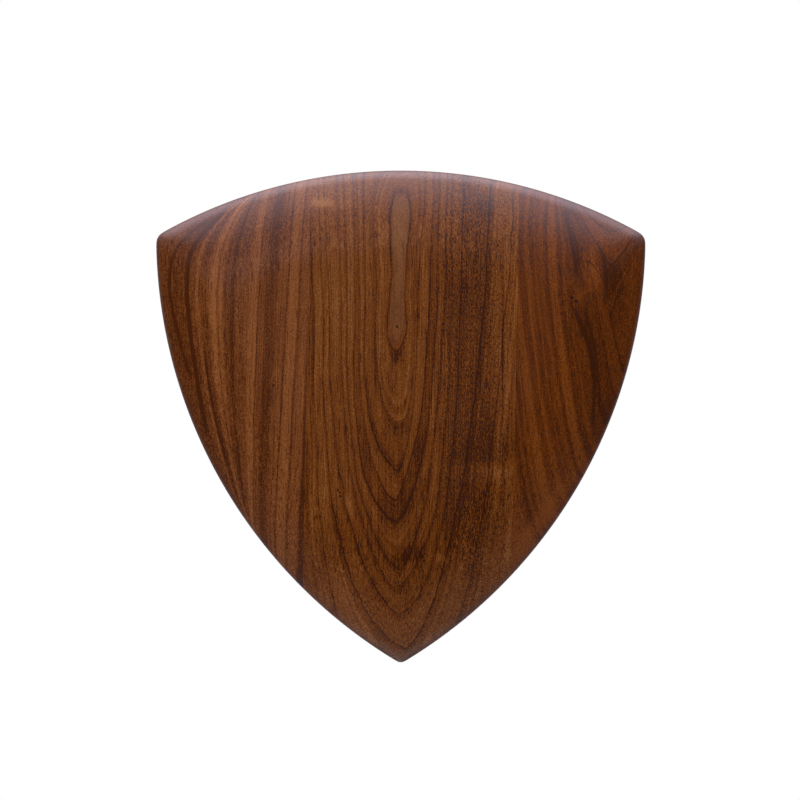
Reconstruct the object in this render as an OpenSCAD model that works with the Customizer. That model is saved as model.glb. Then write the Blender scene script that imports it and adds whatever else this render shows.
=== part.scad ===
// Shield-shaped wall plaque of three edge-glued walnut boards.
// All sizes are in millimetres. X runs to the right as seen from the front and Z runs up.
// The front faces -Y. The flat back lies on the plane Y = 0, against the wall.
// Z = 0 is halfway between the top of the bow and the point where the two sides would meet.

/* [Shield outline] */
// Width from shoulder to shoulder
shield_w = 300; // [240:1:360]
// Radius of the bowed top edge
top_r = 300; // [260:1:420]
// Radius of the two bowed sides
side_r = 304; // [260:1:420]
// Rounding of the two shoulders, seen from the front
shoulder_round = 7.5; // [4:0.5:12]
// Rounding of the bottom point, seen from the front
tip_round = 5; // [3:0.5:10]

/* [Edge shape] */
// Thickness at the middle of the panel
thick = 36; // [30:0.5:45]
// Height of the upright rim, measured from the back
rim_h = 12; // [8:0.5:16]
// Width of the rounded band that falls from the flat front to the rim
crown_w = 50; // [35:1:65]
// Radius of the tight curve where the band turns into the rim
edge_round = 13; // [6:0.5:16]
// Rounding of the edge between the rim and the back
back_ease = 3; // [1:0.5:5]

/* [Boards] */
// Distance of the left glue joint from the middle, at Z = 0
left_joint = 57.5; // [45:0.5:75]
// Distance of the right glue joint from the middle, at Z = 0
right_joint = 69; // [50:0.5:85]
// Lean of the boards from upright, in degrees
board_lean = 1.2; // [0:0.1:4]

/* [Dowels] */
// Diameter of the dowels
dowel_d = 8; // [6:0.5:10]
// Length of the dowels, half of it in each board
dowel_len = 40; // [30:1:50]
// Spacing of the three dowels along a joint
dowel_pitch = 80; // [60:1:95]
// Distance of the dowels' middle from the back
dowel_depth = 14.5; // [10:0.5:18]
// Bevel at the ends of a dowel
dowel_bevel = 1; // [0.5:0.25:2]
// Radius of the glue flutes along a dowel
flute_r = 0.5; // [0.3:0.1:0.8]
// Number of glue flutes
flute_n = 10; // [6:1:16]
// Gap all around a dowel in its hole
dowel_fit = 0.02; // [0.01:0.01:0.1]
// Room for glue beyond each end of a dowel
dowel_end_gap = 1; // [0.5:0.25:3]

/* [Keyhole hanger] */
// Diameter of the hole that lets the nail head in
entry_d = 10; // [8:0.5:14]
// Width of the slot that holds the nail shank
slot_w = 5; // [4.5:0.25:7]
// Rise of the slot above the middle of the entry hole
slot_rise = 12; // [10:0.5:18]
// Distance of the nail's seat below the top of the bow
hang_drop = 45; // [38:1:70]
// Thickness of the steel plate
hanger_t = 1.6; // [1.2:0.1:2.5]
// Width of the plate beside the entry hole
hanger_side = 4; // [3:0.25:6]
// Depth of the plate's outer face below the back
hanger_inset = 0.2; // [0.1:0.1:0.6]
// Gap around the plate in its recess
hanger_gap = 0.15; // [0.05:0.05:0.4]
// Depth of the pocket for the nail head, under the plate
pocket_deep = 8; // [5:0.5:12]
// Room in the pocket beside the entry hole
pocket_side = 1; // [0.5:0.25:2.5]
// Room in the pocket beyond each end of the keyhole
pocket_end = 3; // [1:0.5:5]

/* [Hanger screws] */
// Thread diameter of the two countersunk screws
screw_d = 3.5; // [3:0.1:4.5]
// Length of the screws
screw_len = 16; // [12:0.5:20]
// Wood left between the pocket and a screw
screw_web = 4.5; // [3:0.5:8]
// Steel left between a screw head and the end of the plate
head_edge = 2.5; // [1.5:0.25:5]
// Depth of a screw head below the plate's outer face
head_sink = 0.1; // [0.05:0.05:0.3]
// Play of the screw's neck in the plate
neck_gap = 0.15; // [0.1:0.05:0.4]
// Plain length under the head
neck_l = 2; // [1:0.25:4]
// Pitch of the thread
thread_pitch = 1.5; // [1:0.1:2]
// Depth of the thread
thread_deep = 0.5; // [0.3:0.05:0.7]
// Length of the point
point_l = 3; // [2:0.25:5]
// Gap around the thread in its hole
screw_fit = 0.05; // [0.02:0.01:0.15]
// Length of the cross slots in the head
cross_l = 3.6; // [2.5:0.1:4.5]
// Width of the cross slots
cross_w = 0.8; // [0.5:0.1:1.2]
// Depth of the cross slots
cross_deep = 1.1; // [0.6:0.1:1.5]

/* [Hidden] */
$fn = 96;
eps = 1;
far = 2 * (shield_w + side_r);

// Outline: three arcs, each about a centre on the far side of the shield.
half_w = shield_w / 2;
top_rise = top_r - sqrt(top_r * top_r - half_w * half_w);
side_x = side_r - half_w;
tip_drop = sqrt(side_r * side_r - side_x * side_x);
apex_z = (top_rise + tip_drop) / 2;
shoulder_z = apex_z - top_rise;
top_c = [0, apex_z - top_r];
left_c = [side_x, shoulder_z];
right_c = [-side_x, shoulder_z];
proud = 0.1;

// Edge: a wide arc leaves the flat front almost level, a tight arc ends upright at the rim.
crown_drop = thick - rim_h;
crown_lead = 2;
overlap = 10;
edge_r = min(edge_round, 0.6 * crown_drop);
crown_r = (pow(crown_w - edge_r, 2) + crown_drop * crown_drop - edge_r * edge_r)
  / (2 * (crown_drop * cos(crown_lead) - edge_r - (crown_w - edge_r) * sin(crown_lead)));

// Dowels: a row of three, centred on the length of each joint.
function joint_top(x) = top_c.y + sqrt(top_r * top_r - x * x);
function joint_foot(x) = shoulder_z - sqrt(side_r * side_r - pow(abs(x) + side_x, 2));
function joint_mid(x) = (joint_top(x) + joint_foot(x)) / 2;

// Hanger: the plate and the pocket are sized around the keyhole, the screws around the pocket.
key_l = entry_d / 2 + slot_rise + slot_w / 2;
key_z = apex_z - hang_drop - key_l / 2;
entry_z = key_z - key_l / 2 + entry_d / 2;
slot_z = entry_z + slot_rise;
hanger_w = entry_d + 2 * hanger_side;
pocket_w = entry_d + 2 * pocket_side;
pocket_l = key_l + 2 * pocket_end;
screw_pitch = pocket_l + 2 * screw_web + screw_d;
recess_deep = hanger_inset + hanger_t;

// Screws: the countersunk head ends just inside the plate, and the thread fills what the neck leaves.
head_land = 0.05;
head_h = hanger_t - head_sink - head_land;
head_d = screw_d + 2 * head_h;
hanger_l = screw_pitch + head_d + 2 * head_edge;
core_r = screw_d / 2 - thread_deep;
thread_n = floor((screw_len - head_h - neck_l - point_l) / thread_pitch);
thread_start = screw_len - point_l - thread_n * thread_pitch;

function heading(v) = atan2(v.y, v.x);

// A triangle of rays from point c between two directions, reaching well past the part.
module wedge(c, a0, a1) {
  polygon([c, c + far * [cos(a0), sin(a0)], c + far * [cos(a1), sin(a1)]]);
}

// Half section of a disc of radius r with the shield's edge shape, back at the bottom.
// The waste over the wide arc runs on past the tight arc, so that the two cuts overlap.
module edge_profile(r) {
  c1 = [r - crown_w, thick] - crown_r * [sin(crown_lead), cos(crown_lead)];
  c2 = [r - edge_r, rim_h];
  c3 = [r - 0.97 * back_ease, 0.97 * back_ease];
  a = heading(c2 - c1);
  difference() {
    square([r, thick]);
    difference() {
      wedge(c1, a - overlap, 90);
      translate(c1) circle(crown_r);
    }
    difference() {
      wedge(c2, 0, a);
      translate(c2) circle(edge_r);
    }
    difference() {
      translate([c3.x, -eps]) square([back_ease + eps, c3.y + eps]);
      translate(c3) circle(back_ease);
    }
  }
}

// Disc about centre c, turned so that the seam of its rim lies off the shield.
module edge_disc(c, r, turn) {
  translate([c.x, 0, c.y]) rotate([90, 0, 0]) rotate([0, 0, turn]) rotate_extrude() edge_profile(r);
}

// Point on the inner side of a corner at given distances from the centres of its two arcs.
function corner_point(c0, r0, c1, r1, side) =
  let (
    d = norm(c1 - c0),
    u = (c1 - c0) / d,
    s = (d * d + r0 * r0 - r1 * r1) / (2 * d),
    h = sqrt(r0 * r0 - s * s)
  )
  c0 + s * u + side * h * [-u.y, u.x];

// Waste outside a rounded corner, seen from the front: what is left of the sharp corner.
// The round stands a hair proud of both sides, so that it meets them at a clean edge.
module corner_waste(c0, r0, c1, r1, side, r) {
  f = corner_point(c0, r0 - r + proud, c1, r1 - r + proud, side);
  translate([0, eps, 0]) rotate([90, 0, 0]) linear_extrude(thick + 2 * eps) difference() {
    wedge(f, heading(f - c0), heading(f - c1));
    translate(f) circle(r);
  }
}

module panel() {
  difference() {
    intersection() {
      edge_disc(top_c, top_r, 270);
      edge_disc(left_c, side_r, 0);
      edge_disc(right_c, side_r, 180);
    }
    corner_waste(top_c, top_r, left_c, side_r, 1, shoulder_round);
    corner_waste(top_c, top_r, right_c, side_r, -1, shoulder_round);
    corner_waste(left_c, side_r, right_c, side_r, 1, tip_round);
  }
}

// Everything between two joint planes that lean with the boards.
module strip(x0, x1) {
  rotate([0, board_lean, 0]) translate([x0, -thick - eps, -far]) cube([x1 - x0, thick + 2 * eps, 2 * far]);
}

// Places a child, drawn along Z about its middle, across a joint.
// Place 1 is the upper one of the row, 0 the middle one and -1 the lower one.
module at_dowel(x, place) {
  rotate([0, board_lean, 0]) translate([x, -dowel_depth, joint_mid(x) + place * dowel_pitch])
    rotate([0, 90, 0]) children();
}

module dowel(x, place) {
  r = dowel_d / 2;
  l = dowel_len / 2;
  b = dowel_bevel;
  color("burlywood") at_dowel(x, place) difference() {
    rotate_extrude() polygon([[0, -l], [r - b, -l], [r, b - l], [r, l - b], [r - b, l], [0, l]]);
    for (i = [0 : flute_n - 1]) {
      rotate([0, 0, (i + 0.5) * 360 / flute_n]) translate([r, 0, -l - eps])
        cylinder(r = flute_r, h = dowel_len + 2 * eps);
    }
  }
}

module dowel_holes(x) {
  for (place = [-1, 0, 1]) {
    at_dowel(x, place)
      cylinder(d = dowel_d + 2 * dowel_fit, h = dowel_len + 2 * dowel_end_gap, center = true);
  }
}

// Upright oblong of width w and length l about the middle of the keyhole, seen from the back.
module oblong(w, l) {
  translate([-w / 2, key_z - l / 2 + w / 2]) square([w, l - w]);
  translate([0, key_z - l / 2 + w / 2]) circle(w / 2);
  translate([0, key_z + l / 2 - w / 2]) circle(w / 2);
}

// Turns a flat shape into a solid that runs from depth y0 to depth y1 below the back.
module sunk(y0, y1) {
  translate([0, -y0, 0]) rotate([90, 0, 0]) linear_extrude(y1 - y0) children();
}

// Places a screw-like child, drawn along +Z from its head's top, at one end of the plate.
module at_screw(end, y) {
  translate([0, -y, key_z + end * screw_pitch / 2]) rotate([90, 0, 0]) children();
}

module hanger_cut() {
  sunk(-eps, recess_deep) oblong(hanger_w + 2 * hanger_gap, hanger_l + 2 * hanger_gap);
  sunk(0, recess_deep + pocket_deep) oblong(pocket_w, pocket_l);
  for (end = [-1, 1]) {
    at_screw(end, 0)
      cylinder(d = screw_d + 2 * screw_fit, h = hanger_inset + head_sink + screw_len + screw_fit);
  }
}

module centre_board() {
  color("saddlebrown") difference() {
    intersection() {
      panel();
      strip(-left_joint, right_joint);
    }
    dowel_holes(-left_joint);
    dowel_holes(right_joint);
    hanger_cut();
  }
}

module left_board() {
  color("saddlebrown") difference() {
    intersection() {
      panel();
      strip(-far, -left_joint);
    }
    dowel_holes(-left_joint);
  }
}

module right_board() {
  color("saddlebrown") difference() {
    intersection() {
      panel();
      strip(right_joint, far);
    }
    dowel_holes(right_joint);
  }
}

module keyhole_hanger() {
  color("silver") difference() {
    sunk(hanger_inset, recess_deep) difference() {
      oblong(hanger_w, hanger_l);
      translate([0, entry_z]) circle(entry_d / 2);
      translate([-slot_w / 2, entry_z]) square([slot_w, slot_rise]);
      translate([0, slot_z]) circle(slot_w / 2);
    }
    for (end = [-1, 1]) {
      at_screw(end, 0) cylinder(d = screw_d + 2 * neck_gap, h = recess_deep + eps);
      at_screw(end, hanger_inset) cylinder(
        r1 = head_d / 2 + head_sink,
        r2 = screw_d / 2 + neck_gap,
        h = head_h + head_sink - neck_gap
      );
    }
  }
}

module hanger_screw(end) {
  r = screw_d / 2;
  ridges = [
    for (i = [0 : thread_n - 1]) each [
      [core_r, thread_start + i * thread_pitch],
      [r, thread_start + (i + 0.5) * thread_pitch]
    ]
  ];
  color("gray") at_screw(end, hanger_inset + head_sink) difference() {
    rotate_extrude() polygon(concat(
      [[0, 0], [head_d / 2, 0], [r, head_h], [r, thread_start - thread_deep]],
      ridges,
      [[core_r, screw_len - point_l], [0, screw_len]]
    ));
    translate([-cross_w / 2, -cross_l / 2, -eps]) cube([cross_w, cross_l, cross_deep + eps]);
    translate([-cross_l / 2, -cross_w / 2, -eps]) cube([cross_l, cross_w, cross_deep + eps]);
  }
}

module left_dowel_upper() {
  dowel(-left_joint, 1);
}

module left_dowel_middle() {
  dowel(-left_joint, 0);
}

module left_dowel_lower() {
  dowel(-left_joint, -1);
}

module right_dowel_upper() {
  dowel(right_joint, 1);
}

module right_dowel_middle() {
  dowel(right_joint, 0);
}

module right_dowel_lower() {
  dowel(right_joint, -1);
}

module hanger_screw_upper() {
  hanger_screw(1);
}

module hanger_screw_lower() {
  hanger_screw(-1);
}

centre_board();
left_board();
right_board();
left_dowel_upper();
left_dowel_middle();
left_dowel_lower();
right_dowel_upper();
right_dowel_middle();
right_dowel_lower();
keyhole_hanger();
hanger_screw_upper();
hanger_screw_lower();
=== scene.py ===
# %% [markdown]
# # A walnut shield plaque
# The plaque is three walnut boards glued edge to edge, sawn to a shield with three bowed sides, and
# rounded over towards the rim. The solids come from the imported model, which is the fixed frame: every
# piece made here sits in the same metres. The boards get new skins, because their figure has to follow
# the wood; the dowels, the hanger and its screws keep their solids and get a finish.

# %% Load the frame
import math

import bmesh
import bpy
import numpy as np
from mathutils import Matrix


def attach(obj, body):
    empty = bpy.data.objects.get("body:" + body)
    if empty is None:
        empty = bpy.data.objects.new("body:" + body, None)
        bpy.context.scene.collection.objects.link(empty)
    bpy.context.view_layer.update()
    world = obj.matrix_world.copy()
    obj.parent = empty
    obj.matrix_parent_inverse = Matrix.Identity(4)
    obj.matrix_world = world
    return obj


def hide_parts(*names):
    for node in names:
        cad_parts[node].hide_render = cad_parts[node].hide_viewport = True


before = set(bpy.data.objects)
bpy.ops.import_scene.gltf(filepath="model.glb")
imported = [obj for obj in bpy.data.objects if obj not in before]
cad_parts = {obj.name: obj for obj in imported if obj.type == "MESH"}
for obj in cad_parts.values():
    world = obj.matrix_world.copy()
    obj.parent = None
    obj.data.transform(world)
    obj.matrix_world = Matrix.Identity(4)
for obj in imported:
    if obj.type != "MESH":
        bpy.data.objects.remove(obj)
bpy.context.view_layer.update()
MM = 0.001
TINY = 1e-9
print("solids:", ", ".join(sorted(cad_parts)))

# %% [markdown]
# ## The outline
# Each side of the shield is an arc: one over the top and one down each flank. How far a point lies
# inside an arc is the arc's radius less the distance to its centre. The shield's inset is the least of
# the three, and taking a soft least instead of a hard one rounds the corners of the outline and melts
# the ridges that run in from them, the way sanding does. It could be a bevel on a flat cut-out, but a
# formula gives the same edge at any fineness.

# %% Inset from the outline
ARC_X = np.array([0.0, 154.0, -154.0])
ARC_Z = np.array([-148.851, 110.957, 110.957])
ARC_R = np.array([299.97, 303.97, 303.97])
CORNER_SOFT, TIP_SOFT = 1.45, 0.97
RIDGE_SOFT, RIDGE_END = 0.22, 40.0


def inset_of(x, z):
    """Soft least of the three arc insets: m - k ln(sum of exp(-(d - m) / k)), where m is the hard least
    and the softness k starts at the corner's own value and grows with m."""
    d = ARC_R - np.hypot(x[..., None] - ARC_X, z[..., None] - ARC_Z)
    m = d.min(-1)
    k = np.where(z < 0, TIP_SOFT, CORNER_SOFT) + RIDGE_SOFT * np.clip(m, 0, RIDGE_END)
    return m - k * np.log(np.exp(-(d - m[..., None]) / k[..., None]).sum(-1))


print("inset at the middle: %.1f mm" % inset_of(np.array([0.0]), np.array([0.0]))[0])

# %% [markdown]
# ## The rounded front
# From the flat middle the front falls away in a wide shallow arc and then, over the last few
# millimetres, in a tight one that meets the upright rim. The height depends on the inset alone. The
# start of the wide arc is eased, so that no line shows where the flat ends.

# %% Height of the front
THICK, RIM, BAND = 36.0, 12.0, 50.0
WIDE_R, TIGHT_R = 91.602, 13.0
LEAD = math.radians(2)
SOFT_START, FLAT_FROM = 6.0, 80.0
wide_c = np.array([-WIDE_R * math.sin(LEAD), THICK - WIDE_R * math.cos(LEAD)])
tight_c = np.array([BAND - TIGHT_R, RIM])
meet = tight_c + TIGHT_R * (tight_c - wide_c) / np.linalg.norm(tight_c - wide_c)


def front_height(inset):
    """Height above the back: along t, the way from the flat out to the rim, the wide arc's height
    c + sqrt(R^2 - (t - a)^2) as far as the meeting point, then the tight arc's, with t eased near 0."""
    t = BAND - inset
    t = t + 0.5 * (np.sqrt(t * t + SOFT_START**2) - t) * np.clip(1 - t / BAND, 0, 1)
    t = np.clip(t, 0, BAND)
    wide = wide_c[1] + np.sqrt(np.maximum(WIDE_R**2 - (t - wide_c[0]) ** 2, 0))
    tight = RIM + np.sqrt(np.maximum(TIGHT_R**2 - (t - tight_c[0]) ** 2, 0))
    return np.where(inset > FLAT_FROM, THICK, np.where(t < meet[0], wide, tight))


print("front heights at 0, 6, 20 and 50 mm in:", np.round(front_height(np.array([0.0, 6, 20, 50])), 2))

# %% [markdown]
# ## Boards as grids
# A board is a set of upright lines that lean with the glue joint. Each line ends where it meets the
# outline, which is found by halving the interval, for all the lines at once. Cutting a flat sheet with
# booleans would also do, but a grid keeps its rows along the grain, where the figure needs them.

# %% Where a line meets the outline
LEAN = math.tan(math.radians(1.2))
LEFT_JOINT, RIGHT_JOINT = -57.5, 69.0
HALVINGS = 48
ALONG = np.linspace(-165, 165, 661)
BEYOND = 175.0
SHOULDER_Z = np.linspace(60, 130, 1401)
LEAST_SHIFT, MOST_SHIFT = 100.0, 170.0


def line_ends(shift, off):
    """Lowest and highest z at which the leaning line x = shift + z tan(lean) is off inside the outline:
    from the line's deepest point, halve the way to the far ends until the inset there is off."""
    depth = inset_of(shift[:, None] + ALONG * LEAN, np.broadcast_to(ALONG, (len(shift), len(ALONG))))
    ends = []
    for far in (-BEYOND, BEYOND):
        inside, outside = ALONG[depth.argmax(1)], np.full(len(shift), far)
        for _ in range(HALVINGS):
            half = (inside + outside) / 2
            keep = inset_of(shift + half * LEAN, half) >= off
            inside, outside = np.where(keep, half, inside), np.where(keep, outside, half)
        ends.append(inside)
    return ends


def outer_shift(side, off):
    """Furthest shift, to the left (-1) or right (1), that a line off inside the outline can have."""
    low, high = LEAST_SHIFT, MOST_SHIFT
    for _ in range(HALVINGS):
        half = (low + high) / 2
        reach = inset_of(side * half + SHOULDER_Z * LEAN, SHOULDER_Z).max()
        low, high = (half, high) if reach >= off else (low, half)
    return side * low


print("a line reaches out to %.2f and %.2f mm" % (outer_shift(-1, 0.0), outer_shift(1, 0.0)))

# %% [markdown]
# ## Rows and lines of a board
# Rows are spaced closer towards both ends of a line, because the front turns fastest there. On the side
# boards the lines close up towards the shoulder for the same reason. The same lines, drawn a little
# further in, later give the eased back edge and the back.

# %% Lines across a board
CENTRE_LINES, SIDE_LINES = 123, 111
END_ROWS, MID_ROWS, END_BAND = 20, 230, 14.0


def line_shifts(board, off):
    """Shifts of a board's lines: even across the centre board; on a side board they close up towards
    the shoulder as the square of the step, because the rim turns there."""
    if board == "centre":
        return np.linspace(LEFT_JOINT, RIGHT_JOINT, CENTRE_LINES)
    side, joint = (-1, LEFT_JOINT) if board == "left" else (1, RIGHT_JOINT)
    outer = outer_shift(side, off)
    return outer + (joint - outer) * np.linspace(0, 1, SIDE_LINES) ** 2


def rows_between(low, high):
    """Rows of z for each line: squared steps over a band at each end and even steps between."""
    length = (high - low)[:, None]
    band = END_BAND * length / (length + 2 * END_BAND)
    ends = band * np.linspace(0, 1, END_ROWS + 1)[:-1] ** 2
    middle = band + (length - 2 * band) * np.linspace(0, 1, MID_ROWS + 1)
    return low[:, None] + np.concatenate([ends, middle, length - ends[:, ::-1]], 1)


def board_lines(board, off):
    """x and z of a board's grid, off inside the outline: one line of points per shift."""
    shift = line_shifts(board, off)
    z = rows_between(*line_ends(shift, off))
    return shift[:, None] + z * LEAN, z


for board in ("left", "centre", "right"):
    x, z = board_lines(board, 0.0)
    print(board, "board:", x.shape, "points, x %.2f to %.2f mm" % (x.min(), x.max()))

# %% [markdown]
# ## Welding the skins
# A piece is several grids that meet at their edges: front, rim, joint walls and back. Points that fall
# on one another become one, cells that close up at a corner become triangles or go, and the faces are
# turned outwards. Edges sharper than 35 degrees stay crisp and the rest are shaded smoothly.

# %% Weld grids into one mesh
SNAP = 0.002
CRISP = math.radians(35)


def weld(name, grids):
    """One closed mesh from grids of points in millimetres, each an array of rows, columns and x y z."""
    points = np.concatenate([g.reshape(-1, 3) for g in grids])
    quads, start = [], 0
    for g in grids:
        n = np.arange(start, start + g.shape[0] * g.shape[1]).reshape(g.shape[:2])
        quads.append(np.stack([n[:-1, :-1], n[1:, :-1], n[1:, 1:], n[:-1, 1:]], -1).reshape(-1, 4))
        start += n.size
    snapped = np.round(points / SNAP).astype(np.int64)
    _, first, same = np.unique(snapped, axis=0, return_index=True, return_inverse=True)
    quads = same.reshape(-1)[np.concatenate(quads)]
    repeat = quads == np.roll(quads, -1, 1)
    whole = ~repeat.any(1) & (quads[:, 0] != quads[:, 2]) & (quads[:, 1] != quads[:, 3])
    closed = repeat.sum(1) == 1
    turn = (repeat[closed].argmax(1)[:, None] + np.arange(1, 4)) % 4
    triangles = np.take_along_axis(quads[closed], turn, 1)
    mesh = bpy.data.meshes.new(name)
    mesh.from_pydata((points[first] * MM).tolist(), [], quads[whole].tolist() + triangles.tolist())
    shell = bmesh.new()
    shell.from_mesh(mesh)
    bmesh.ops.recalc_face_normals(shell, faces=shell.faces)
    loose = sum(not e.is_manifold for e in shell.edges)
    shell.to_mesh(mesh)
    shell.free()
    mesh.shade_smooth()
    mesh.set_sharp_from_angle(angle=CRISP)
    piece = bpy.data.objects.new(name, mesh)
    bpy.context.scene.collection.objects.link(piece)
    print("%s: %d points, %d faces, %d open edges" % (name, len(mesh.vertices), len(mesh.polygons), loose))
    return piece


print("points closer than %g mm become one" % SNAP)

# %% [markdown]
# ## The side boards
# The rim goes straight back from the front's edge and turns into the back over a small eased edge. The
# joint wall is flat and closes the inner side. A plain back closes the board.

# %% Skin grids of the side boards
EASE, RIM_STEPS = 3.0, 5
QUARTER = np.linspace(0, math.pi / 2, 7)[1:]
RIM_OFF = np.concatenate([np.zeros(RIM_STEPS), EASE * (1 - np.cos(QUARTER))])
RIM_H = np.concatenate([np.linspace(RIM, EASE, RIM_STEPS), EASE * (1 - np.sin(QUARTER))])
WALLS = {"left": [-1], "right": [-1], "centre": [0, -1]}


def at_height(x, z, h):
    """Points of the part's frame: the back lies on y = 0 and the front faces -Y."""
    return np.stack([x, -np.broadcast_to(h, x.shape), z], -1)


def board_grids(board):
    """Front, rim, joint walls and the eased back edge of a board, and the points of its back."""
    x, z = board_lines(board, 0.0)
    top = front_height(np.maximum(inset_of(x, z), 0))
    top[:, [0, -1]] = RIM
    grids = [at_height(x, z, top)]
    lines = [board_lines(board, off) for off in RIM_OFF]
    for row in (0, -1):
        grids.append(np.stack([at_height(a[:, row], b[:, row], h) for (a, b), h in zip(lines, RIM_H)]))
    for col in WALLS[board]:
        share = top[col] / RIM
        grids.append(np.stack([at_height(a[col], b[col], share * h) for (a, b), h in zip(lines, RIM_H)]))
    return grids, lines[-1]


for board in ("left", "right"):
    grids, (x, z) = board_grids(board)
    weld("board_" + board, grids + [at_height(x, z, 0.0)])

# %% [markdown]
# ## The centre board
# On its back the centre board has the hanger's shallow recess and, under it, the pocket for the head of
# a wall screw. Both are round-ended slots, so the back is a ruled ring from the outline to the recess,
# and more rings go down the recess wall, over its floor and into the pocket.

# %% Centre board with its recess and pocket
KEY_Z = 96.399
RECESS_W, RECESS_L, RECESS_D = 18.3, 49.7, 1.8
POCKET_W, POCKET_L, POCKET_D = 12.0, 25.5, 9.8
RING_ROWS, RING_CROWD = 52, 1.1
RECESS_ROWS, LEDGE_ROWS, POCKET_ROWS, FLOOR_ROWS = 3, 5, 7, 6


def round_ended(width, length, turn):
    """Outline of a round-ended slot about the key's middle: for each bearing from its centre, the point
    at which a ray meets the slot, a half circle where it is steep and a straight side elsewhere."""
    r, reach = width / 2, (length - width) / 2
    c, s = np.cos(turn), np.sin(turn)
    side = r / np.maximum(np.abs(c), TINY)
    end = reach * np.abs(s) + np.sqrt(np.maximum(r * r - (reach * c) ** 2, 0))
    ray = np.where(side * np.abs(s) <= reach, side, end)
    return ray * c, KEY_Z + ray * s


def ruled(start, end, low, high, share):
    """Straight rows from one loop to another, and from one depth to another, at the given shares."""
    (xa, za), (xb, zb), s = start, end, share[:, None]
    return at_height(xa + (xb - xa) * s, za + (zb - za) * s, low + (high - low) * s)


grids, (x, z) = board_grids("centre")
loop_x = np.concatenate([x[:, 0], x[-1, 1:], x[-2::-1, -1], x[0, -2::-1]])
loop_z = np.concatenate([z[:, 0], z[-1, 1:], z[-2::-1, -1], z[0, -2::-1]])
turn = np.arctan2(loop_z - KEY_Z, loop_x)
recess = round_ended(RECESS_W, RECESS_L, turn)
pocket = round_ended(POCKET_W, POCKET_L, turn)
middle = (0 * turn, 0 * turn + KEY_Z)
grids += [
    ruled(recess, (loop_x, loop_z), 0.0, 0.0, np.linspace(0, 1, RING_ROWS) ** RING_CROWD),
    ruled(recess, recess, 0.0, RECESS_D, np.linspace(0, 1, RECESS_ROWS)),
    ruled(recess, pocket, RECESS_D, RECESS_D, np.linspace(0, 1, LEDGE_ROWS)),
    ruled(pocket, pocket, RECESS_D, POCKET_D, np.linspace(0, 1, POCKET_ROWS)),
    ruled(pocket, middle, POCKET_D, POCKET_D, np.linspace(0, 1, FLOOR_ROWS)),
]
weld("board_centre", grids)
skins = {board: bpy.data.objects["board_" + board] for board in ("left", "centre", "right")}

# %% [markdown]
# ## Rings of the left board
# The stripes on a board are growth rings, cut by its face. On the side boards the rings stand nearly
# upright: a stripe keeps its place across the board, leans a little, and slides sideways where the face
# drops towards the rim, because it follows the ring into the wood. A picture of wood could be laid on
# the face, but then the rim would not match it; numbers kept on the skin go round every edge.

# %% Rings of the left board
SLIDE_AT = [-226, -160, -142, -120, -104, -93, -70, -55]
SLIDE = [4.5, 3.0, 2.6, 1.6, 0.8, 0.3, 0.1, 0.0]
LEAN_AT = [-226, -160, -142, -120, -93, -70, -55]
LEANS = [0.36, 0.055, 0.01, 0.0, 0.045, 0.06, 0.045]
RULER = np.linspace(-260, -40, 1101)
BATCHES = 40


def left_ring(x, z, drop):
    """The ring c whose stripe x = c + slide(c) * drop + lean(c) * z passes through the point: the count
    of stripes on a fine ruler that lie left of it, with the rest of a step added."""
    slide, lean = np.interp(RULER, SLIDE_AT, SLIDE), np.interp(RULER, LEAN_AT, LEANS)
    rings = np.empty_like(x)
    for part in np.array_split(np.arange(len(x)), BATCHES):
        stripe = RULER + slide * drop[part, None] + lean * z[part, None]
        n = np.clip((stripe < x[part, None]).sum(1), 1, len(RULER) - 1)
        row = np.arange(len(part))
        rest = (x[part] - stripe[row, n - 1]) / (stripe[row, n] - stripe[row, n - 1] + TINY)
        rings[part] = RULER[n - 1] + (RULER[1] - RULER[0]) * np.clip(rest, 0, 1)
    return rings


at_x = np.array([-140.0, -100.0, -60.0])
print("left rings at x = -140, -100 and -60:", np.round(left_ring(at_x, 0 * at_x, 0 * at_x), 1))

# %% [markdown]
# ## Arches of the centre board
# On the centre board the saw went nearly along the rings, so they show as arches, one inside the other.
# Each arch is a round-tipped V that straightens as it climbs: its half width is W (1 - exp(-h / L))^p,
# at height h above its tip. Twelve arches are given, and those between are blended.

# %% Arches of the centre board
# One row per arch, from the inmost out: tip x and z, then W, L and p of its left and right arm.
ARCHES = np.array([
    [-2, 133, 1, 3, 0.7, 1, 3, 0.7],
    [-2.5, 40.5, 6.5, 8, 0.8, 8, 8, 0.8],
    [-2, -2.5, 16, 60, 0.35, 13, 60, 0.35],
    [-2, -32.5, 22, 30, 0.6, 21, 180, 0.5],
    [-3.5, -51, 24, 50, 0.55, 24, 60, 0.8],
    [-3.5, -63.5, 26, 30, 0.65, 28, 70, 0.6],
    [0, -93, 35, 45, 0.75, 31, 115, 0.6],
    [-4, -104.5, 34, 45, 1.0, 35, 50, 0.65],
    [-2.5, -120, 44, 55, 0.9, 41, 75, 0.55],
    [2.5, -140, 52, 55, 0.75, 61, 180, 0.65],
    [2.5, -173, 57, 55, 0.75, 74, 180, 0.6],
    [2.5, -229, 71, 60, 0.75, 92, 180, 0.6],
])
ARCH_HALVINGS = 26


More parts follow.
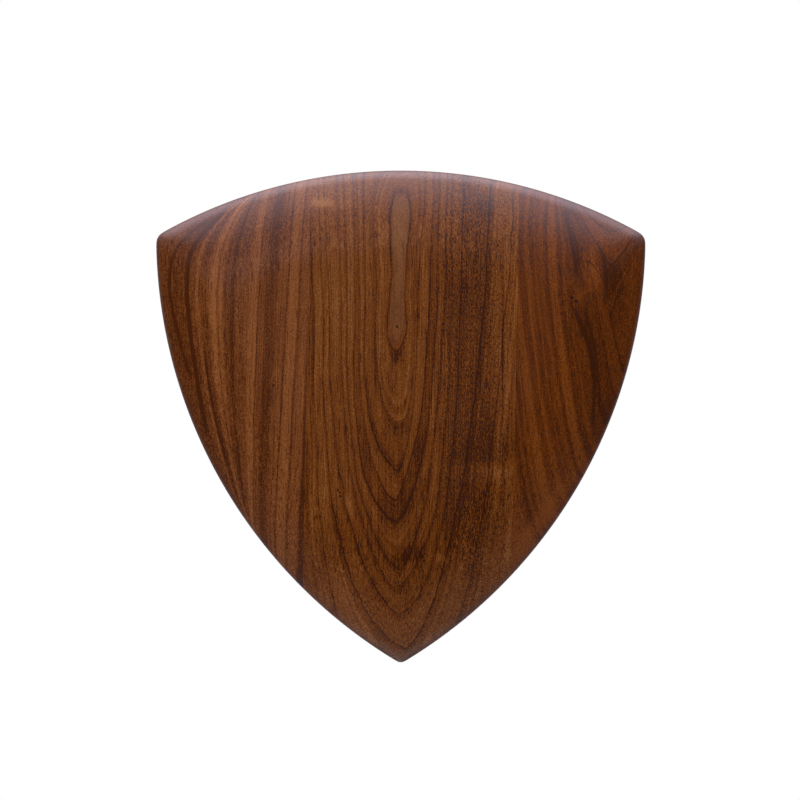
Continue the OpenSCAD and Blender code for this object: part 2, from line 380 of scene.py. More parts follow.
def arch_number(x, z, arches):
    """The arch, counted from the core with fractions between, whose line passes through the point. A
    point lies inside an arch if its distance from the tip's line is under the arm's half width there;
    halving finds the smallest arch that holds it."""
    low, high = np.zeros_like(x), np.full_like(x, len(arches) - 1)
    count = np.arange(len(arches))
    for _ in range(ARCH_HALVINGS):
        n = (low + high) / 2
        tip_x, tip_z, *arms = (np.interp(n, count, arches[:, c]) for c in range(8))
        wide, long, bend = (np.where(x < tip_x, arms[c], arms[c + 3]) for c in range(3))
        climb = np.maximum(z - tip_z, 0)
        holds = np.abs(x - tip_x) < wide * (1 - np.exp(-climb / long)) ** bend
        low, high = np.where(holds, low, n), np.where(holds, n, high)
    return (low + high) / 2


print("arch at the pin knot: %.2f" % arch_number(np.array([-2.4]), np.array([55.4]), ARCHES)[0])

# %% [markdown]
# ## The core and the top of the centre board
# The inmost arch is a keyhole-shaped core: wide at the pin knot, drawn in above it and wide again at the
# top. Near the top edge the front drops into the outer rings, so the arches close over, and on the rim
# and the back the count rises with the depth below the front.

# %% Rings of the centre board
RING_STEP = 6.0
CORE_X, CORE_FADE = -2.4, 10.0
CORE_AT = [55, 65, 75, 90, 105, 125, 140]
CORE_LEFT = [1.0, 0.8, 0.6, 0.45, 0.55, 0.6, 0.4]
CORE_RIGHT = [1.0, 0.7, 0.5, 0.6, 0.7, 1.05, 1.05]
CLOSE_FROM, CLOSE_SHARE, CLOSE_CORE = 60.0, 0.041, 8.0
RISE = 0.12


def waisted(x, z):
    """Draws the inmost arches in and out along their length: distances from the core's line are divided
    by the core's width there, as a share of the usual, and the effect fades out away from the line."""
    u = x - CORE_X
    share = np.where(u < 0, np.interp(z, CORE_AT, CORE_LEFT), np.interp(z, CORE_AT, CORE_RIGHT))
    return CORE_X + u / (1 + (share - 1) * np.exp(-((u / CORE_FADE) ** 2)))


def centre_ring(x, z, drop):
    """Ring of the centre board: the root of the arch number squared and the closing squared, where the
    closing grows with the front's drop at the top, plus a share of the depth below the front."""
    flat = front_height(np.maximum(inset_of(x, z), 0))
    under = flat - (THICK - drop)
    closing = CLOSE_SHARE * np.where(z > CLOSE_FROM, THICK - flat, 0)
    n = arch_number(waisted(x, z), z, ARCHES)
    return RING_STEP * (np.sqrt(n * n + closing**2 * (1 + CLOSE_CORE / (1 + n))) + RISE * under)


at_z = np.array([120.0, 20.0, -80.0])
print("centre rings at z = 120, 20 and -80:", np.round(centre_ring(0 * at_z, at_z, 0 * at_z), 1))

# %% [markdown]
# ## Rings of the right board
# The right board's stripes lean a little to the right going down, and slide with the drop as on the left
# one. At the shoulder two rings come up through the face and show as one V inside another.

# %% Rings of the right board
SHOULDER = np.array([
    [128, 140, 40, 26, 1.0, 20, 5, 0.9],
    [128, 113.5, 40, 26, 1.0, 20, 5, 0.9],
    [128.5, 92, 70, 85, 1.15, 40, 45, 1.0],
    [129, 60, 70, 110, 1.15, 40, 60, 1.0],
])
SHOULDER_RING = 138.0
RIGHT_LEAN, FLANK_SLIDE, SHOULDER_SLIDE = 0.11, 0.45, 1.05
SHOULDER_ACROSS, SHOULDER_UP, V_EDGE = (104, 120), (70, 105), (2.3, 3.0)


def smooth(value, start, end):
    """0 before start, 1 after end, and an S-shaped climb between: 3 s^2 - 2 s^3."""
    s = np.clip((value - start) / (end - start), 0, 1)
    return s * s * (3 - 2 * s)


def right_ring(x, z, drop):
    """Stripes x + lean * z, less a slide times the drop: to the right on the flank and to the left near
    the shoulder. Inside the third V of the shoulder the stripes give way to the V's own count."""
    stripes = x + RIGHT_LEAN * z
    near = smooth(stripes, *SHOULDER_ACROSS) * smooth(z, *SHOULDER_UP)
    stripes = stripes - (FLANK_SLIDE - SHOULDER_SLIDE * near) * drop
    n = arch_number(x, z, SHOULDER)
    return stripes + (SHOULDER_RING - RING_STEP * n - stripes) * (1 - smooth(n, *V_EDGE))


at_x = np.array([80.0, 110.0, 128.0])
print("right rings at x = 80, 110 and 128:", np.round(right_ring(at_x, 0 * at_x + 100, 0 * at_x), 1))

# %% [markdown]
# ## Wander, spots and sight line
# No tree is even: its rings wander sideways by a few tenths of a millimetre. Some patches are paler,
# darker or coarser in the pore; such patches are soft-edged spots, listed one by one. The figure was
# drawn on the plane of the rim as the camera sees it, and the flat front stands nearer to the eye than
# that, so the drawing is read a little larger there.

# %% Helpers for the figure
NEARER, EYE_Z = 0.0137, 10.9
WAVES, WAVE_HEIGHT, FULL_TURN = 14, 3.7, 6.283


def waver(x, z, wide, tall, seed):
    """Smooth wandering of about +-1: a sum of sine waves of both directions, with fixed random phases."""
    draw = np.random.default_rng(seed)
    a, b = draw.normal(0, 1 / wide, WAVES), draw.normal(0, 1 / tall, WAVES)
    phase = draw.uniform(0, FULL_TURN, WAVES)
    return np.sin(x[:, None] * a + z[:, None] * b + phase).sum(1) / WAVE_HEIGHT


def spot(x, z, sx, sz, half_w, half_h, slant):
    """1 in the middle of a soft oval spot, falling to 0 outside it: exp(-(u^2 + v^2)^2), where u and v
    are the distances from its middle as shares of its half sizes."""
    u, v = (x - sx - (z - sz) * slant) / half_w, (z - sz) / half_h
    return np.exp(-((u * u + v * v) ** 2))


def drawn_at(x, z, drop):
    """Where the drawing has a point: further out from eye height and mid width by a share that is full
    on the flat front and nothing at the height of the rim."""
    share = NEARER * (1 - drop / (THICK - RIM))
    return x * (1 + share), z + (z - EYE_Z) * share


def points_of(piece):
    """The x, y and z of every point of a skin, in millimetres."""
    co = np.empty(len(piece.data.vertices) * 3, np.float32)
    piece.data.vertices.foreach_get("co", co)
    return co.reshape(-1, 3).astype(float).T / MM


def keep_on(mesh, name, values):
    """Stores one number per point under a name that the finish reads."""
    mesh.attributes.new(name, "FLOAT", "POINT").data.foreach_set("value", values.astype(np.float32))


far_x, far_z = drawn_at(np.array([100.0]), np.array([100.0]), np.array([0.0]))
print("the flat front's (100, 100) is drawn at (%.2f, %.2f)" % (far_x[0], far_z[0]))

# %% [markdown]
# ## Knots and patches
# A few twigs left pin knots. The grain parts round a knot and closes behind it. The patches follow the
# photographed face: the darker, coarser stripe right of the middle, the pale bar near the top left, the
# paler lower right edge, and the light and shade round each knot. Two more are painted shade: they
# darken the top of the left board, where its front turns up towards the overhead lamp.

# %% Knots and patches of each board
# Knots: x, z, and the half width and half height of the grain that they push aside.
KNOTS = {
    "left": [(-78, 20, 2.4, 7)],
    "centre": [(-2.5, 55, 2.6, 9), (-37.5, -44.5, 3.4, 9), (13.5, -86, 2.6, 6)],
    "right": [(106, 72, 6, 14)],
}
# Patches: x, z, half width, half height, slant in mm per mm of height, and the tone added.
PATCHES = {
    "left": [
        (-76.5, 26, 1.6, 5, 0, 0.25), (-79.5, 14, 2, 6, 0, -0.2), (-105, -20, 5, 35, -0.2, -0.28),
        # Painted shade: these two darken the top of the left board, where the front turns up to the overhead
        # lamp.
        (-75, 122, 22, 16, 0, -0.14), (-105, 110, 22, 14, 0, -0.14),
    ],
    "centre": [
        (43, 40, 14.5, 115, 0, -0.26), (59.5, 30, 2.4, 110, 0, 0.05), (62.5, 20, 0.9, 100, 0, -0.3),
        (66, 55, 2.2, 70, 0.02, 0.1), (46, -52, 18, 45, 0, -0.26), (-56, 20, 2.5, 130, 0.02, -0.25),
        (-49, 131.5, 7, 2.6, 0, 0.75), (-38, 130, 8, 3, 0, 0.15), (48, -34, 21, 6, 0, 0.3),
        (22, -87, 9, 3, 0, 0.15), (-32, -54, 1.8, 8, -0.3, 0.3), (5, -84, 8, 5, 0.25, -0.28),
        (-1, -72, 4.5, 8, 0, 0.15), (0, -75, 38, 38, 0, -0.22), (-27, 95, 24, 60, 0, 0.1),
        (33, 108, 6, 22, 0, 0.22), (-46, -92, 8, 16, 0.6, -0.15), (-2, 36, 3.5, 5, 0, -0.2),
        (11, -46, 5, 12, 0.5, -0.22), (-2, 112, 5, 16, 0, 0.15), (-3.5, 51, 5, 8, 0, 0.12),
        (66, -82, 0.8, 22, 0.02, 0.25), (-50, -75, 10, 25, 0.3, -0.12), (52, 128, 7, 8, 0, -0.25),
        (41, 100, 4, 14, 0, 0.22), (12, 106, 3.5, 16, 0, 0.2), (-10, 112, 4, 10, 0, 0.2),
        (-10, 37, 3.5, 10, 0, 0.2), (-48, 32, 8, 12, 0, 0.12), (52, -10, 5, 20, 0, -0.2),
        (67, -10, 3, 22, 0.02, -0.2), (13, -20, 4, 16, 0.2, -0.2),
        (-5, -23, 70, 20, 0, -0.1),
    ],
    "right": [
        (117, 92, 5.5, 17, 0, 0.42), (111, 76, 4, 5, 0.8, 0.2), (111.5, 56, 4, 16, -0.35, -0.2),
        (132, 74, 8, 18, 0, -0.3), (128, 90, 5, 7, 0, -0.25),
        (86, -64, 7, 30, 0.65, 0.45), (86, -30, 16, 26, 0, 0.12), (122, -4, 5, 14, 0.5, -0.25),
    ],
}
# Coarse stripes: as patches, with the share of coarse pores added.
COARSE = {"left": [], "centre": [(40, 40, 17, 150, 0, 0.9), (61.5, 40, 7, 120, 0, 0.5)], "right": []}
PLAIN_COARSE = {"left": 0.05, "centre": 0.10, "right": 0.05}
for board in KNOTS:
    print(board, "board:", len(KNOTS[board]), "knots,", len(PATCHES[board]), "patches")

# %% [markdown]
# ## Veins
# A few lines of late wood are so dark that the eye follows them: some run down the left flank from the
# shoulder, and some sweep past the knot on the right. Each is drawn through a few points. A skin keeps,
# for each vein, how far to its right a point lies, and the finish then draws the line sharp even between
# the points of the mesh.

# %% Veins of each board
# Veins: darkness, half width, and the points x and z from the top down.
VEINS = {
    "left": [
        (0.45, 1.3, [(-112, 126), (-121, 119), (-133, 110), (-140, 100), (-142.5, 82), (-139, 60),
                     (-134, 40), (-127, 20)]),
        (0.7, 1.8, [(-104, 131), (-114, 120), (-124, 110), (-130, 100), (-131.5, 78), (-129, 50),
                    (-126, 30), (-122.5, 8), (-118, -14)]),
        (0.45, 1.2, [(-121, 48), (-119, 28), (-116, 10), (-112, -8), (-106, -32)]),
    ],
    "centre": [],
    "right": [
        (0.65, 1.8, [(99, 130), (102, 120), (104.5, 110), (106, 100), (107.5, 90), (107.5, 80)]),
        (0.5, 1.1, [(104, 120), (107.5, 108), (109, 99), (109, 88)]),
        (0.6, 1.9, [(104, 71), (110, 58), (114, 48), (117, 36), (118.5, 22), (118.5, 6), (117, -10)]),
        (0.55, 1.1, [(109, 70), (115, 60), (118, 48), (120, 34), (121.5, 18), (121.5, 0)]),
        (0.45, 1.0, [(102.5, 64), (104, 50), (107, 38), (109.5, 24), (111, 6)]),
        (0.4, 1.8, [(119, 110), (124.5, 98), (126, 88), (126, 76), (124, 62)]),
    ],
}
ROUNDING = np.linspace(-6, 6, 5)


def vein_side(x, z, points):
    """Distance to the right of a vein: x less the vein's own x at that height, over the root of one plus
    its slope squared. The vein runs straight between its points, averaged over a span to round it."""
    vein_x, vein_z = np.array(points[::-1], float).T
    near = np.interp(z[:, None] + ROUNDING, vein_z, vein_x)
    slope = (near[:, -1] - near[:, 0]) / (ROUNDING[-1] - ROUNDING[0])
    return (x - near.mean(1)) / np.sqrt(1 + slope**2)


for board in VEINS:
    print(board, "board:", len(VEINS[board]), "veins")

# %% [markdown]
# ## Putting the figure on the skins
# Every point of a skin keeps a few numbers that the finish reads: its ring, how many millimetres a ring
# takes up there, the patch tone, the coarseness of its pores and its place along and across the fibres.
# Close to a knot the rings are held back to the ring that the knot sits on, so the stripes go round it.

# %% Put the figure on the skins
RING_OF = {"left": left_ring, "centre": centre_ring, "right": right_ring}
FIBRE_LEAN = {"left": 0.03, "centre": 0.0, "right": -RIGHT_LEAN}
BROAD_WAVES, SMALL_WAVES, SMALL_WANDER = (9, 14), (3, 5), 0.15
HALF_STEP, STEEP_LEAST = 0.5, 1e-3
KNOT_HOLD, KNOT_PINCH, KNOT_DEPTH = 0.8, 0.3, 9.0
PATCH_FROM, PATCH_DEPTH = 10.0, 9.0
SPREAD_LEAST, SPREAD_MOST = 0.1, 8.0


def spread_of(ring_of, x, z, drop):
    """Millimetres per ring: one over the steepness of the ring number, from steps to each side."""
    along_x = ring_of(x + HALF_STEP, z, drop) - ring_of(x - HALF_STEP, z, drop)
    along_z = ring_of(x, z + HALF_STEP, drop) - ring_of(x, z - HALF_STEP, drop)
    steep = np.maximum(np.hypot(along_x, along_z), STEEP_LEAST)
    return np.clip(2 * HALF_STEP / steep, SPREAD_LEAST, SPREAD_MOST)


def figure(board, seed, wander):
    """Rings, their spread, fibres, patches and pore size for every point of a skin."""
    mesh = skins[board].data
    x, y, z = points_of(skins[board])
    ring_of, drop = RING_OF[board], THICK + y
    x, z = drawn_at(x, z, drop)
    stray = waver(x, z, *BROAD_WAVES, seed) + SMALL_WANDER * waver(x, z, *SMALL_WAVES, seed + 1)
    rings = ring_of(x + wander * stray, z, drop)
    across = x - z * FIBRE_LEAN[board]
    for kx, kz, wide, tall in KNOTS[board]:
        at = np.array([float(kx)]), np.array([float(kz)])
        home = ring_of(*at, THICK - front_height(inset_of(*at)))[0]
        near = np.exp(-(((x - kx) / wide) ** 2) - ((z - kz) / tall) ** 2 - (drop / KNOT_DEPTH) ** 2)
        rings = home + (rings - home) * (1 - KNOT_HOLD * near)
        across = kx + (across - kx) * (1 - KNOT_PINCH * near)
    shallow = np.exp(-((np.maximum(drop - PATCH_FROM, 0) / PATCH_DEPTH) ** 2))
    patch = sum(tone * spot(x, z, *place) for *place, tone in PATCHES[board])
    coarse = sum(share * spot(x, z, *place) for *place, share in COARSE[board])
    keep_on(mesh, "ring", rings)
    keep_on(mesh, "spread", spread_of(ring_of, x + wander * stray, z, drop))
    keep_on(mesh, "patch", patch * shallow)
    keep_on(mesh, "coarse", PLAIN_COARSE[board] + coarse + 0 * x)
    for n, (_, _, points) in enumerate(VEINS[board]):
        keep_on(mesh, "vein_%d" % n, vein_side(x, z, points))
    fibre = np.stack([across, y, z], 1).astype(np.float32)
    mesh.attributes.new("fibre", "FLOAT_VECTOR", "POINT").data.foreach_set("vector", fibre.ravel())
    print("%s board: rings %.1f to %.1f" % (board, rings.min(), rings.max()))


for board, seed, wander in (("left", 11, 0.3), ("centre", 23, 0.75), ("right", 37, 0.5)):
    figure(board, seed, wander)

# %% [markdown]
# ## Node helpers
# A finish is a tree of nodes. Laying each node by hand takes several lines, so a few small helpers lay
# one, feed its sockets and hand back its output. With them a finish reads like arithmetic.

# %% Helpers that lay nodes
def lay(tree, kind, links=None, **settings):
    """Adds a node, sets its properties, and feeds its sockets from other sockets or plain values."""
    made = tree.nodes.new("ShaderNode" + kind)
    for key, value in settings.items():
        setattr(made, key, value)
    for key, value in (links or {}).items():
        if isinstance(value, bpy.types.NodeSocket):
            tree.links.new(value, made.inputs[key])
        else:
            made.inputs[key].default_value = value
    return made


def reckon(tree, operation, a, b=0.0, c=0.0):
    """One step of arithmetic on sockets or numbers."""
    return lay(tree, "Math", {0: a, 1: b, 2: c}, operation=operation).outputs[0]


def product(tree, first, *others):
    """Sockets or numbers multiplied together, one after the other."""
    for other in others:
        first = reckon(tree, "MULTIPLY", first, other)
    return first


def add_share(tree, tone, noise, share):
    """Adds a noise to the tone, centred, times a share."""
    return reckon(tree, "MULTIPLY_ADD", reckon(tree, "SUBTRACT", noise, 0.5), share, tone)


def between(tree, value, start, end, low, high, way="LINEAR"):
    """Carries a value from the span start to end over to the span low to high, and holds it beyond."""
    span = {"Value": value, "From Min": start, "From Max": end, "To Min": low, "To Max": high}
    return lay(tree, "MapRange", span, interpolation_type=way).outputs[0]


def fade(tree, value, start, end):
    """1 at start and beyond, falling smoothly to 0 at end, or the other way round."""
    return between(tree, value, end, start, 0.0, 1.0, "SMOOTHSTEP")


def attribute(tree, name, socket="Fac"):
    """Reads one of the skin's own attributes."""
    return lay(tree, "Attribute", attribute_name=name).outputs[socket]


def streaks(tree, fibre, across, along, detail=2.0):
    """Noise drawn out along the grain: a scale per millimetre across it and another along it."""
    scaled = lay(tree, "VectorMath", {0: fibre, 1: (across, across, along)}, operation="MULTIPLY").outputs[0]
    return lay(tree, "TexNoise", {"Vector": scaled, "Scale": 1.0, "Detail": detail}).outputs["Fac"]


def blend(tree, share, one, other):
    """Mixes two colours by a share."""
    return lay(tree, "Mix", {0: share, 6: one, 7: other}, data_type="RGBA").outputs[2]


def new_finish(name):
    """A new material, with its tree and the shader in it."""
    made = bpy.data.materials.new(name)
    made.use_nodes = True
    return made, made.node_tree, made.node_tree.nodes["Principled BSDF"]


def feed(tree, shader, colour, rough, height, strength, depth):
    """Feeds a shader its colour, its roughness and a bump."""
    bump = lay(tree, "Bump", {"Height": height, "Strength": strength, "Distance": depth}).outputs[0]
    for socket, value in (("Base Color", colour), ("Roughness", rough), ("Normal", bump)):
        tree.links.new(value, shader.inputs[socket])


print("a noise of the grain is 2 nodes: a multiply and a noise")

# %% [markdown]
# ## Ramps
# A colour ramp turns a number into a tone or a colour. It holds few stops, and a board has some fifty
# stripes, so a long list is cut into lengths and the lengths are added up.

# %% Ramps and ring tones
RAMP_LENGTH = 14


def ramp(tree, value, stops, colour=False, steps=False):
    """A colour ramp with the stops given as place and tone, or place and colour."""
    made = lay(tree, "ValToRGB", {0: value})
    made.color_ramp.interpolation = "CONSTANT" if steps else "LINEAR"
    bar = made.color_ramp.elements
    while len(bar) < len(stops):
        bar.new(1.0)
    for element, (place, tone) in zip(bar, stops):
        element.position = place
        element.color = (*tone, 1) if colour else (tone, tone, tone, 1)
    return made.outputs["Color"]


def ring_tones(tree, ring, stops):
    """Tone of each ring, from a given list of ring and tone. Each length of the list keeps its end
    tones outside its own span, so the lengths add up once the tone at each cut is taken off."""
    total = None
    for a in range(0, len(stops) - 1, RAMP_LENGTH):
        part = stops[a : a + RAMP_LENGTH + 1]
        low, high = part[0][0], part[-1][0]
        place = between(tree, ring, low, high, 0.0, 1.0)
        tone = ramp(tree, place, [((r - low) / (high - low), t) for r, t in part])
        if total is None:
            total = tone
        else:
            total = reckon(tree, "SUBTRACT", reckon(tree, "ADD", total, tone), part[0][1])
    return total


print("a list of 50 stripes takes", math.ceil(49 / RAMP_LENGTH), "ramps")

# %% [markdown]
# ## Arch lines, pins and veins
# Each arch ends in a thin dark line of late wood, the same width wherever the arch is wide or narrow, so
# it is drawn by distance in millimetres. A pin is a small dark hole where a twig ended. A vein is drawn
# by its distance too, and fades at its ends.

# %% Arch lines, pins and veins
LINE_CORE, LINE_EDGE = 0.1, 0.75
ARM_SPREAD, TIP_SPREAD, ARM_SHARE = 0.7, 1.8, 0.35
VEIN_CORE, VEIN_END = 0.2, 12.0
VEIN_FRONT, VEIN_BACK = -24.0, -8.0
PIN_DARK, PIN_CORE, PIN_EDGE = (0.010, 0.004, 0.002, 1), 0.5, 1.3


def arch_lines(tree, ring, spread, first, strengths):
    """The dark line on each arch: its distance in millimetres is the rings to the nearest whole arch
    times the millimetres per ring, and each arch has its own strength, listed from the first."""
    count = reckon(tree, "DIVIDE", ring, RING_STEP)
    nearest = reckon(tree, "ROUND", count)
    away = reckon(tree, "ABSOLUTE", reckon(tree, "SUBTRACT", count, nearest))
    away = product(tree, away, RING_STEP, spread)
    line = fade(tree, away, LINE_CORE, LINE_EDGE)
    place = reckon(tree, "DIVIDE", reckon(tree, "ADD", nearest, 0.5 - first), len(strengths))
    strength = ramp(tree, place, [(n / len(strengths), t) for n, t in enumerate(strengths)], steps=True)
    near_tip = between(tree, spread, ARM_SPREAD, TIP_SPREAD, ARM_SHARE, 1.0)
    return product(tree, line, strength, near_tip)


def pin_holes(tree, pins):
    """Nearness to each of a few points of the face: 1 in a pin's core, falling to 0 just past its radius."""
    place = lay(tree, "TexCoord").outputs["Object"]
    flat = lay(tree, "VectorMath", {0: place, 1: (1 / MM, 0, 1 / MM)}, operation="MULTIPLY").outputs[0]
    total = 0.0
    for x, z, r in pins:
        spot_at = (x * (1 - NEARER), 0, z - (z - EYE_Z) * NEARER)
        away = lay(tree, "VectorMath", {0: flat, 1: spot_at}, operation="DISTANCE").outputs["Value"]
        total = reckon(tree, "MAXIMUM", fade(tree, away, PIN_CORE * r, PIN_EDGE * r), total)
    return total


def vein_lines(tree, board, fibre):
    """Darkness of the veins: each is full within a share of its half width, gone at its edge, and fades
    out towards its two ends and below the rounded front."""
    place = lay(tree, "SeparateXYZ", {0: fibre}).outputs
    total = 0.0
    for n, (dark, half, points) in enumerate(VEINS[board]):
        top, foot = points[0][1], points[-1][1]
        away = reckon(tree, "ABSOLUTE", attribute(tree, "vein_%d" % n))
        line = fade(tree, away, VEIN_CORE * half, half)
        from_top = fade(tree, place["Z"], top - VEIN_END, top)
        from_foot = fade(tree, place["Z"], foot + VEIN_END, foot)
        line = product(tree, line, from_top, from_foot)
        total = reckon(tree, "MULTIPLY_ADD", line, dark, total)
    return reckon(tree, "MULTIPLY", total, fade(tree, place["Y"], VEIN_FRONT, VEIN_BACK))


print("lines fade out over %.2f mm" % (LINE_EDGE - LINE_CORE))

# %% [markdown]
# ## Walnut
# Tone runs from 0, the darkest late wood, to 1, the palest streak. It is added up from the ring's own
# tone, fine lines that repeat the ring, long fibres, short grain, broad drifts, the listed patches and
# the arch lines. A last ramp turns tone into walnut browns. Pores are short dashes along the grain,
# darker, duller and a little sunk; the core is greyer than the rest. The oiled face is satin.

# %% Noises and shares of the walnut
# Noises drawn out along the grain: scale per millimetre across it and along it, and detail.
RING_STRAY, LONG_FIBRES, SHORT_GRAIN = (0.25, 0.02, 3.0), (1.3, 0.015, 3.0), (1.7, 1.0, 1.0)
BROAD_DRIFT, MOTTLE = (0.09, 0.02, 3.0), (2.0, 0.35, 1.0)
PORE_DASHES, PORE_FLECKS = (1.5, 0.07, 1.0), (2.0, 0.50, 0.0)
# Spans: where a noise counts in full and where it ends, and the span that the mottle is carried over to.
DASH_SPAN, FLECK_SPAN, MOTTLE_SPAN = (0.68, 0.58), (0.64, 0.50), (0.3, 0.7, 0.4, 1.6)
RING_WANDER, FINE_SCALE, FINE_DETAIL = 0.8, 1.3, 2.0
CROWDED, ROOMY = 0.2, 0.7
FIBRE_SHARE, DRIFT_SHARE = 0.9, 0.45
PORE_DARK, DASH_SHARE = -0.7, 0.7
SATIN, PORE_DULL, OIL_IOR = 0.26, 0.15, 1.45
BUMP_STRENGTH, BUMP_DEPTH = 0.15, 0.0003
HEART_GREY, HEART_SHARE, HEART_EDGE = (0.120, 0.053, 0.026, 1), 0.35, 0.8
print("satin roughness %.2f, in the pores up to %.2f" % (SATIN, SATIN + PORE_DULL))


# %% Walnut finish
def walnut_tone(tree, board, ring, fibre, fibres):
    """Tone of the wood before its pores: ring tone plus the shares of the noises, patches and lines."""
    tone = ring_tones(tree, ring, STRIPES[board])
    links = {"W": ring, "Scale": FINE_SCALE, "Detail": FINE_DETAIL}
    fine = lay(tree, "TexNoise", links, noise_dimensions="1D").outputs["Fac"]
    share = between(tree, attribute(tree, "spread"), CROWDED, ROOMY, 0.0, FINE[board])
    tone = add_share(tree, tone, fine, share)
    tone = add_share(tree, tone, fibres, FIBRE_SHARE * GRAIN[board])
    tone = add_share(tree, tone, streaks(tree, fibre, *SHORT_GRAIN), SHORT[board])
    tone = add_share(tree, tone, streaks(tree, fibre, *BROAD_DRIFT), DRIFT_SHARE)
    mottle = between(tree, streaks(tree, fibre, *MOTTLE), *MOTTLE_SPAN)
    tone = reckon(tree, "MULTIPLY_ADD", attribute(tree, "patch"), mottle, tone)
    if LINES[board]:
        lines = arch_lines(tree, ring, attribute(tree, "spread"), *LINES[board])
        tone = reckon(tree, "SUBTRACT", tone, lines)
    if VEINS[board]:
        tone = reckon(tree, "SUBTRACT", tone, vein_lines(tree, board, fibre))
    return tone


def walnut(board):
    """The walnut of one board: tone into browns, sunk dark pores, pins, and on the centre a grey core."""
    made, tree, shader = new_finish("walnut_" + board)
    fibre = attribute(tree, "fibre", "Vector")
    ring = add_share(tree, attribute(tree, "ring"), streaks(tree, fibre, *RING_STRAY), RING_WANDER)
    fibres = streaks(tree, fibre, *LONG_FIBRES)
    tone = walnut_tone(tree, board, ring, fibre, fibres)
    dashes = fade(tree, streaks(tree, fibre, *PORE_DASHES), *DASH_SPAN)
    flecks = fade(tree, streaks(tree, fibre, *PORE_FLECKS), *FLECK_SPAN)
    dashes = reckon(tree, "MULTIPLY", dashes, DASH_SHARE)
    pores = reckon(tree, "MULTIPLY_ADD", flecks, attribute(tree, "coarse"), dashes)
    tone = reckon(tree, "MULTIPLY_ADD", pores, PORE_DARK, tone)
    brown = ramp(tree, tone, BROWNS[board], colour=True)
    if board == "centre":
        heart = fade(tree, ring, HEART_EDGE * RING_STEP, RING_STEP)
        brown = blend(tree, reckon(tree, "MULTIPLY", heart, HEART_SHARE), brown, HEART_GREY)
    brown = blend(tree, pin_holes(tree, PINS[board]), brown, PIN_DARK)
    rough = reckon(tree, "MULTIPLY_ADD", pores, PORE_DULL, SATIN)
    sunk = reckon(tree, "MULTIPLY_ADD", pores, -1.0, fibres)
    feed(tree, shader, brown, rough, sunk, BUMP_STRENGTH, BUMP_DEPTH)
    shader.inputs["IOR"].default_value = OIL_IOR
    return made


print("each board's walnut is made once its stripes and browns are set")

# %% [markdown]
# ## Stripes
# The stripes of a board are listed: a ring, and the tone of the wood there. Between two entries the
# tone runs straight, so two entries close together make a crisp line and two far apart a soft change.
# On the centre board the count is in arches. A noise could stand in for the list, but then no stripe
# would lie where the real board has it.

# %% Stripes by ring and tone
LEFT_STRIPES = [
    (-250, 0.3), (-230, 0.28), (-221, 0.25), (-213, 0.22), (-205, 0.22), (-198, 0.26), (-188, 0.22),
    (-178, 0.25), (-168, 0.22), (-160, 0.25), (-152, 0.22), (-148, 0.35), (-141, 0.4), (-138.5, 0.75),
    (-136, 0.7), (-133.5, 0.4), (-128, 0.3), (-126, 0.35), (-123, 0.65), (-120, 0.95), (-117, 0.95),
    (-116, 0.4), (-114.5, 0.75), (-112.5, 0.75), (-111, 0.4), (-109.5, 0.4), (-107.5, 0.4),
    (-106.5, 0.1), (-104.5, 0.15), (-104, 0.45), (-97.5, 0.5), (-95.5, 0.75), (-93.5, 0.9),
    (-91.5, 0.8), (-90.5, 0.3), (-90, 0.5), (-87, 0.45), (-85.5, 0.2), (-83.5, 0.15), (-81, 0.25),
    (-79.5, 0.5), (-78, 0.5), (-77.5, 0.25), (-76.5, 0.65), (-75, 0.65), (-74, 0.2), (-73, 0.75),
    (-71, 0.85), (-67.5, 0.75), (-66.5, 0.3), (-65, 0.65), (-62.5, 0.7), (-60.5, 0.65), (-59.5, 0.25),
    (-58.5, 0.0), (-57, -0.05),
]
CENTRE_STRIPES = [
    (0.0, 0.75), (0.7, 0.7), (0.85, 0.55), (1.0, 0.35), (1.15, 0.3), (1.2, 0.5), (1.4, 0.6),
    (1.5, 0.55), (1.6, 0.65), (1.8, 0.6), (1.95, 0.65), (2.05, 0.4), (2.4, 0.55), (2.7, 0.6),
    (2.85, 0.5), (3.0, 0.3), (3.1, 0.35), (3.25, 0.6), (3.6, 0.7), (3.9, 0.65), (4.05, 0.45),
    (4.3, 0.45), (4.6, 0.5), (4.9, 0.4), (5.05, 0.35), (5.15, 0.6), (5.3, 0.7), (5.7, 0.65),
    (5.85, 0.55), (6.0, 0.4), (6.15, 0.4), (6.3, 0.6), (6.6, 0.7), (6.85, 0.6), (7.05, 0.5),
    (7.15, 0.55), (7.5, 0.7), (7.8, 0.65), (8.05, 0.5), (8.1, 0.6), (8.5, 0.75), (8.85, 0.65),
    (9.05, 0.5), (9.15, 0.65), (9.5, 0.8), (9.8, 0.75), (10.0, 0.65), (10.3, 0.7), (11.0, 0.7),
]
RIGHT_STRIPES = [
    (55, 0.75), (66, 0.7), (69, 0.25), (70, 0.2), (71.5, 0.65), (73.5, 0.25), (74, 0.4), (75, 0.65),
    (77, 0.5), (78.5, 0.8), (80.5, 0.9), (82, 0.7), (83, 0.4), (86, 0.35), (87, 0.75), (88.5, 0.75),
    (89.5, 0.4), (91.5, 0.4), (92.5, 0.6), (94, 0.45), (95.5, 0.7), (97, 0.7), (98, 0.3), (99, 0.3),
    (100, 0.75), (102, 0.9), (104, 0.8), (105.5, 0.3), (108, 0.3), (109, 0.7), (110.5, 0.65),
    (112, 0.4), (114.5, 0.45), (117, 0.55), (118, 0.1), (119, 0.25), (119.5, 0.0), (120.5, 0.35),
    (123, 0.3), (125.5, 0.3), (126.5, 0.55), (131, 0.6), (132, 0.5), (140, 0.55), (160, 0.5),
]
STRIPES = {
    "left": LEFT_STRIPES,
    "centre": [(RING_STEP * n, tone) for n, tone in CENTRE_STRIPES],
    "right": RIGHT_STRIPES,
}
for board, stripes in STRIPES.items():
    print(board, "board:", len(stripes), "stripe marks, ring %g to %g" % (stripes[0][0], stripes[-1][0]))

